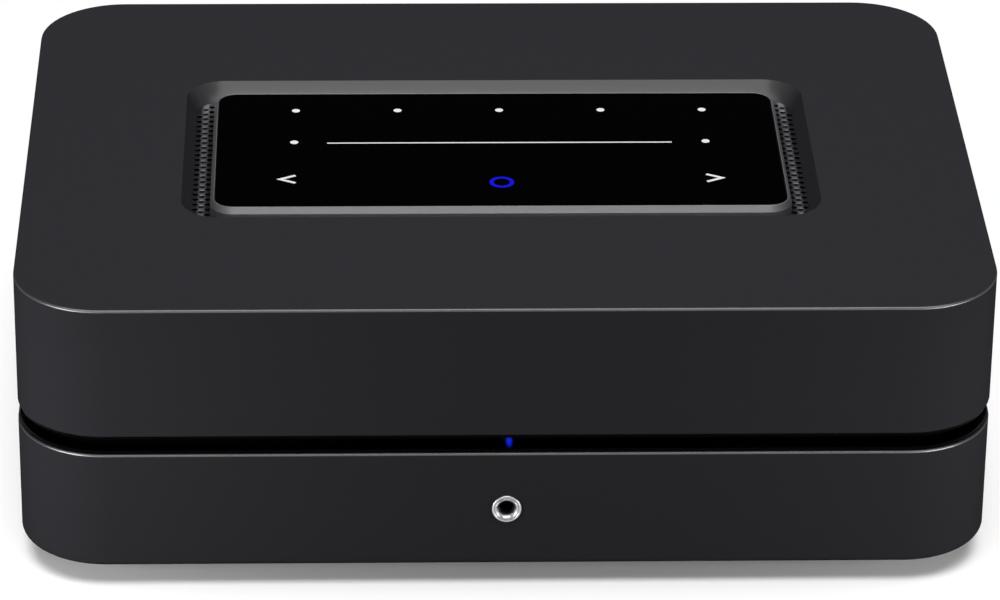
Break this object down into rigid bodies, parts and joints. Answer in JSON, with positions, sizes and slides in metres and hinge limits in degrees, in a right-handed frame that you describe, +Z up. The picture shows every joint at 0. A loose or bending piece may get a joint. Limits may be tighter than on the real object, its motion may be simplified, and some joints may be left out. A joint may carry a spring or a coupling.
{
  "type": "streaming amplifier",
  "caption": "Low rounded two-shell amplifier with a black waist groove, sunken touch panel between side vents, front headphone jack and rear screw-down speaker terminals.",
  "frame": {"origin": "on the floor under the middle of the whole object, feet to terminals", "axes": "+Z up, front with the headphone socket faces -Y, +X to the viewer's right when looking at the front"},
  "size_m": [0.22, 0.18, 0.07],
  "materials": {
    "shell_satin": "satin charcoal",
    "band_black": "matt black",
    "grille_sheet": "satin dark grey",
    "bezel_satin": "satin grey",
    "touch_glass": "black, polished",
    "clear_acrylic": "clear",
    "board_black": "solder resist",
    "board_green": "solder resist",
    "ribbon_film": "film",
    "zinc_steel": "zinc plated",
    "nickel_brass": "nickel plated",
    "gold_plate": "gold plated",
    "panel_black": "powder coated",
    "moulded_black": "moulded",
    "jack_lining": "pale lining",
    "chrome_ring": "polished",
    "core_white": "moulded",
    "chip_black": "moulded",
    "sink_aluminium": "extruded",
    "ferrite_grey": "sintered",
    "winding_tape": "tape",
    "can_sleeve": "shrunk sleeve",
    "shield_tin": "tin plated",
    "lead_sleeve": "sleeve",
    "foot_rubber": "moulded",
    "cap_red": "moulded",
    "cap_black": "moulded"
  },
  "bodies": {
    "root": {"amplifier_board": "board_green", "amplifier_chips": "chip_black", "audio_input_socket": "moulded_black", "base_plate": "moulded_black", "board_screws": "zinc_steel", "bottom_shell": "shell_satin", "case_screws": "zinc_steel", "data_socket_shell": "nickel_brass", "foot_front_left": "foot_rubber", "foot_front_right": "foot_rubber", "foot_rear_left": "foot_rubber", "foot_rear_right": "foot_rubber", "front_board": "board_green", "grille_screws": "zinc_steel", "headphone_ring": "chrome_ring", "headphone_socket": "jack_lining", "heat_sink": "sink_aluminium", "main_board": "board_green", "mains_choke": "ferrite_grey", "mains_inlet": "moulded_black", "mains_leads": "lead_sleeve", "mains_pins": "nickel_brass", "network_contacts": "gold_plate", "network_socket": "moulded_black", "output_coils": "ferrite_grey", "power_board": "board_green", "radio_aerials": "board_black", "rear_panel": "panel_black", "reservoir_capacitors": "can_sleeve", "socket_tongues": "moulded_black", "speaker_leads": "lead_sleeve", "status_light_pipe": "clear_acrylic", "streaming_module": "shield_tin", "subwoofer_socket": "gold_plate", "subwoofer_socket_core": "core_white", "terminal_block": "moulded_black", "terminal_nuts": "nickel_brass", "terminal_stud_1": "nickel_brass", "terminal_stud_2": "nickel_brass", "terminal_stud_3": "nickel_brass", "terminal_stud_4": "nickel_brass", "top_shell": "shell_satin", "touch_bezel": "bezel_satin", "touch_board": "board_black", "touch_glass": "touch_glass", "touch_light_guide": "clear_acrylic", "touch_ribbon": "ribbon_film", "transformer_core": "ferrite_grey", "transformer_winding": "winding_tape", "vent_grille": "grille_sheet", "video_socket_shell": "nickel_brass", "waist_band": "band_black"},
    "washer_1": {"clamp_washer_1": "nickel_brass"},
    "cap_1": {"terminal_cap_1": "cap_red"},
    "washer_2": {"clamp_washer_2": "nickel_brass"},
    "cap_2": {"terminal_cap_2": "cap_black"},
    "washer_3": {"clamp_washer_3": "nickel_brass"},
    "cap_3": {"terminal_cap_3": "cap_red"},
    "washer_4": {"clamp_washer_4": "nickel_brass"},
    "cap_4": {"terminal_cap_4": "cap_black"}
  },
  "joints": [
    {"name": "washer_1_slide", "type": "slide", "parent": "root", "child": "washer_1", "axis": [0, 1, 0], "range_m": [0, 0.004]},
    {"name": "cap_1_turn", "type": "hinge", "parent": "washer_1", "child": "cap_1", "pos_m": [0.03625, 0.0774, 0.0196], "axis": [0, 1, 0], "range_deg": [0, 1440]},
    {"name": "washer_2_slide", "type": "slide", "parent": "root", "child": "washer_2", "axis": [0, 1, 0], "range_m": [0, 0.004]},
    {"name": "cap_2_turn", "type": "hinge", "parent": "washer_2", "child": "cap_2", "pos_m": [0.04975, 0.0774, 0.0196], "axis": [0, 1, 0], "range_deg": [0, 1440]},
    {"name": "washer_3_slide", "type": "slide", "parent": "root", "child": "washer_3", "axis": [0, 1, 0], "range_m": [0, 0.004]},
    {"name": "cap_3_turn", "type": "hinge", "parent": "washer_3", "child": "cap_3", "pos_m": [0.06325, 0.0774, 0.0196], "axis": [0, 1, 0], "range_deg": [0, 1440]},
    {"name": "washer_4_slide", "type": "slide", "parent": "root", "child": "washer_4", "axis": [0, 1, 0], "range_m": [0, 0.004]},
    {"name": "cap_4_turn", "type": "hinge", "parent": "washer_4", "child": "cap_4", "pos_m": [0.07675, 0.0774, 0.0196], "axis": [0, 1, 0], "range_deg": [0, 1440]}
  ],
  "couplings": [
    {"joint": "cap_1_turn", "follows": "washer_1_slide", "rad_per_m": 6280},
    {"joint": "cap_2_turn", "follows": "washer_2_slide", "rad_per_m": 6280},
    {"joint": "cap_3_turn", "follows": "washer_3_slide", "rad_per_m": 6280},
    {"joint": "cap_4_turn", "follows": "washer_4_slide", "rad_per_m": 6280}
  ]
}
